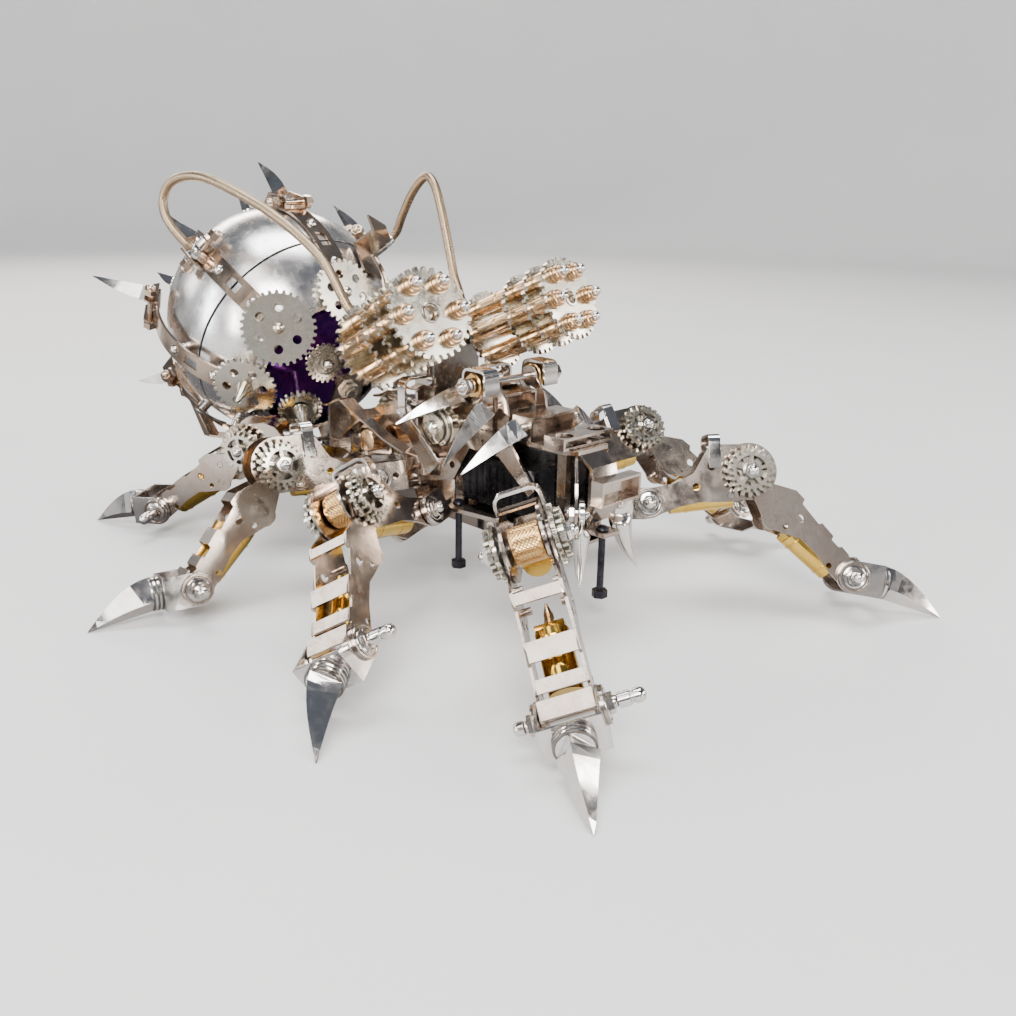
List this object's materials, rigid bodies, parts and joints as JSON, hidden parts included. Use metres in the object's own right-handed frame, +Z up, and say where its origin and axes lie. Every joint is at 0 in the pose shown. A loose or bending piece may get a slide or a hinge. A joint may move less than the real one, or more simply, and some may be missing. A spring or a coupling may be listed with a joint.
{
  "type": "mechanical spider robot",
  "caption": "Clockwork-style metal spider robot with jointed claw-tipped legs, swinging fangs, twin spinning rotary guns and a banded steel ball abdomen.",
  "frame": {"origin": "on the ground under the middle of the bounding box, in the middle plane", "axes": "+Z up, the spider faces -Y and its ball abdomen is towards +Y, its right side is -X"},
  "size_m": [0.2166, 0.2634, 0.122],
  "materials": {
    "plate_steel": "satin, lightly brushed",
    "polished_steel": "mirror polished",
    "claw_steel": "polished facets",
    "gear_steel": "bright, cut teeth",
    "warm_steel": "satin, warm tint",
    "fastener_steel": "bright turned",
    "hose_steel": "satin, slightly brown",
    "brass": "polished",
    "copper": "polished copper colour",
    "black": "satin black",
    "blue_core": "gloss dark blue"
  },
  "bodies": {
    "trunk": {"chassis_deck": "plate_steel", "coxa_brackets": "plate_steel", "chassis_fasteners": "fastener_steel", "upper_deck": "plate_steel", "armour_ribs": "plate_steel", "gearbox": "black", "spike_claws": "claw_steel", "gun_yoke": "plate_steel", "ball_front_shell": "polished_steel", "ball_rear_shell": "polished_steel", "ball_core": "blue_core", "cage_straps": "warm_steel", "ball_gears": "gear_steel", "hoses": "hose_steel"},
    "right_fang": {"right_fang": "claw_steel"},
    "left_fang": {"left_fang": "claw_steel"},
    "right_gun": {"right_gun_discs": "gear_steel", "right_gun_barrels": "copper"},
    "left_gun": {"left_gun_discs": "gear_steel", "left_gun_barrels": "copper"},
    "front_right_thigh": {"front_right_femur": "plate_steel", "front_right_femur_tube": "brass"},
    "front_right_shin": {"front_right_tibia": "plate_steel", "front_right_tibia_tube": "brass"},
    "front_right_claw": {"front_right_foot": "claw_steel"},
    "second_right_thigh": {"second_right_femur": "plate_steel", "second_right_femur_tube": "brass"},
    "second_right_shin": {"second_right_tibia": "plate_steel", "second_right_tibia_tube": "brass"},
    "second_right_claw": {"second_right_foot": "claw_steel"},
    "third_right_thigh": {"third_right_femur": "plate_steel", "third_right_femur_tube": "brass"},
    "third_right_shin": {"third_right_tibia": "plate_steel", "third_right_tibia_tube": "brass"},
    "third_right_claw": {"third_right_foot": "claw_steel"},
    "rear_right_thigh": {"rear_right_femur": "plate_steel", "rear_right_femur_tube": "brass"},
    "rear_right_shin": {"rear_right_tibia": "plate_steel", "rear_right_tibia_tube": "brass"},
    "rear_right_claw": {"rear_right_foot": "claw_steel"},
    "front_left_thigh": {"front_left_femur": "plate_steel", "front_left_femur_tube": "brass"},
    "front_left_shin": {"front_left_tibia": "plate_steel", "front_left_tibia_tube": "brass"},
    "front_left_claw": {"front_left_foot": "claw_steel"},
    "second_left_thigh": {"second_left_femur": "plate_steel", "second_left_femur_tube": "brass"},
    "second_left_shin": {"second_left_tibia": "plate_steel", "second_left_tibia_tube": "brass"},
    "second_left_claw": {"second_left_foot": "claw_steel"},
    "third_left_thigh": {"third_left_femur": "plate_steel", "third_left_femur_tube": "brass"},
    "third_left_shin": {"third_left_tibia": "plate_steel", "third_left_tibia_tube": "brass"},
    "third_left_claw": {"third_left_foot": "claw_steel"},
    "rear_left_thigh": {"rear_left_femur": "plate_steel", "rear_left_femur_tube": "brass"},
    "rear_left_shin": {"rear_left_tibia": "plate_steel", "rear_left_tibia_tube": "brass"},
    "rear_left_claw": {"rear_left_foot": "claw_steel"}
  },
  "joints": [
    {"name": "front_right_hip", "type": "hinge", "parent": "trunk", "child": "front_right_thigh", "pos_m": [-0.022, -0.06416, 0.03004], "axis": [0.6528, -0.676, 0.342], "range_deg": [-20, 24]},
    {"name": "front_right_knee", "type": "hinge", "parent": "front_right_thigh", "child": "front_right_shin", "pos_m": [-0.04473, -0.08158, 0.03898], "axis": [0.6528, -0.676, 0.342], "range_deg": [-26, 26]},
    {"name": "front_right_ankle", "type": "hinge", "parent": "front_right_shin", "child": "front_right_claw", "pos_m": [-0.05903, -0.10952, 0.01107], "axis": [0.6528, -0.676, 0.342], "range_deg": [-32, 32]},
    {"name": "second_right_hip", "type": "hinge", "parent": "trunk", "child": "second_right_thigh", "pos_m": [-0.0315, -0.02416, 0.02741], "axis": [0.3555, -0.78, 0.515], "range_deg": [-20, 24]},
    {"name": "second_right_knee", "type": "hinge", "parent": "second_right_thigh", "child": "second_right_shin", "pos_m": [-0.05895, -0.02949, 0.03828], "axis": [0.3555, -0.78, 0.515], "range_deg": [-26, 26]},
    {"name": "second_right_ankle", "type": "hinge", "parent": "second_right_shin", "child": "second_right_claw", "pos_m": [-0.0805, -0.05568, 0.0135], "axis": [0.3555, -0.78, 0.515], "range_deg": [-32, 32]},
    {"name": "third_right_hip", "type": "hinge", "parent": "trunk", "child": "third_right_thigh", "pos_m": [-0.0235, 0.00684, 0.03083], "axis": [-0.2593, -0.935, 0.2419], "range_deg": [-20, 24]},
    {"name": "third_right_knee", "type": "hinge", "parent": "third_right_thigh", "child": "third_right_shin", "pos_m": [-0.051, 0.01635, 0.03812], "axis": [-0.2593, -0.935, 0.2419], "range_deg": [-26, 26]},
    {"name": "third_right_ankle", "type": "hinge", "parent": "third_right_shin", "child": "third_right_claw", "pos_m": [-0.07985, 0.01646, 0.00759], "axis": [-0.2593, -0.935, 0.2419], "range_deg": [-32, 32]},
    {"name": "rear_right_hip", "type": "hinge", "parent": "trunk", "child": "rear_right_thigh", "pos_m": [-0.018, 0.03184, 0.0288], "axis": [-0.8472, -0.5294, -0.0436], "range_deg": [-1, 22]},
    {"name": "rear_right_knee", "type": "hinge", "parent": "rear_right_thigh", "child": "rear_right_shin", "pos_m": [-0.03388, 0.05686, 0.03349], "axis": [-0.8472, -0.5294, -0.0436], "range_deg": [-26, 26]},
    {"name": "rear_right_ankle", "type": "hinge", "parent": "rear_right_shin", "child": "rear_right_claw", "pos_m": [-0.05097, 0.08625, 0.00882], "axis": [-0.8472, -0.5294, -0.0436], "range_deg": [-32, 32]},
    {"name": "front_left_hip", "type": "hinge", "parent": "trunk", "child": "front_left_thigh", "pos_m": [0.022, -0.06416, 0.03004], "axis": [0.6528, 0.676, -0.342], "range_deg": [-20, 24]},
    {"name": "front_left_knee", "type": "hinge", "parent": "front_left_thigh", "child": "front_left_shin", "pos_m": [0.04473, -0.08158, 0.03898], "axis": [0.6528, 0.676, -0.342], "range_deg": [-26, 26]},
    {"name": "front_left_ankle", "type": "hinge", "parent": "front_left_shin", "child": "front_left_claw", "pos_m": [0.05903, -0.10952, 0.01107], "axis": [0.6528, 0.676, -0.342], "range_deg": [-32, 32]},
    {"name": "second_left_hip", "type": "hinge", "parent": "trunk", "child": "second_left_thigh", "pos_m": [0.0315, -0.02416, 0.02741], "axis": [0.3555, 0.78, -0.515], "range_deg": [-20, 24]},
    {"name": "second_left_knee", "type": "hinge", "parent": "second_left_thigh", "child": "second_left_shin", "pos_m": [0.05895, -0.02949, 0.03828], "axis": [0.3555, 0.78, -0.515], "range_deg": [-26, 26]},
    {"name": "second_left_ankle", "type": "hinge", "parent": "second_left_shin", "child": "second_left_claw", "pos_m": [0.0805, -0.05568, 0.0135], "axis": [0.3555, 0.78, -0.515], "range_deg": [-32, 32]},
    {"name": "third_left_hip", "type": "hinge", "parent": "trunk", "child": "third_left_thigh", "pos_m": [0.0235, 0.00684, 0.03083], "axis": [-0.2593, 0.935, -0.2419], "range_deg": [-20, 24]},
    {"name": "third_left_knee", "type": "hinge", "parent": "third_left_thigh", "child": "third_left_shin", "pos_m": [0.051, 0.01635, 0.03812], "axis": [-0.2593, 0.935, -0.2419], "range_deg": [-26, 26]},
    {"name": "third_left_ankle", "type": "hinge", "parent": "third_left_shin", "child": "third_left_claw", "pos_m": [0.07985, 0.01646, 0.00759], "axis": [-0.2593, 0.935, -0.2419], "range_deg": [-32, 32]},
    {"name": "rear_left_hip", "type": "hinge", "parent": "trunk", "child": "rear_left_thigh", "pos_m": [0.018, 0.03184, 0.0288], "axis": [-0.8472, 0.5294, 0.0436], "range_deg": [-1, 22]},
    {"name": "rear_left_knee", "type": "hinge", "parent": "rear_left_thigh", "child": "rear_left_shin", "pos_m": [0.03388, 0.05686, 0.03349], "axis": [-0.8472, 0.5294, 0.0436], "range_deg": [-26, 26]},
    {"name": "rear_left_ankle", "type": "hinge", "parent": "rear_left_shin", "child": "rear_left_claw", "pos_m": [0.05097, 0.08625, 0.00882], "axis": [-0.8472, 0.5294, 0.0436], "range_deg": [-32, 32]},
    {"name": "right_fang_swing", "type": "hinge", "parent": "trunk", "child": "right_fang", "pos_m": [-0.008, -0.06566, 0.03406], "axis": [-0.7071, 0.7071, 0], "range_deg": [-20, 20]},
    {"name": "left_fang_swing", "type": "hinge", "parent": "trunk", "child": "left_fang", "pos_m": [0.008, -0.06566, 0.03406], "axis": [-0.7071, -0.7071, 0], "range_deg": [-20, 20]},
    {"name": "right_gun_spin", "type": "hinge", "parent": "trunk", "child": "right_gun", "pos_m": [-0.0276, -0.02676, 0.08506], "axis": [-0.124, -0.9051, 0.4067], "continuous": true},
    {"name": "left_gun_spin", "type": "hinge", "parent": "trunk", "child": "left_gun", "pos_m": [0.0276, -0.02676, 0.08506], "axis": [0.124, -0.9051, 0.4067], "continuous": true}
  ]
}
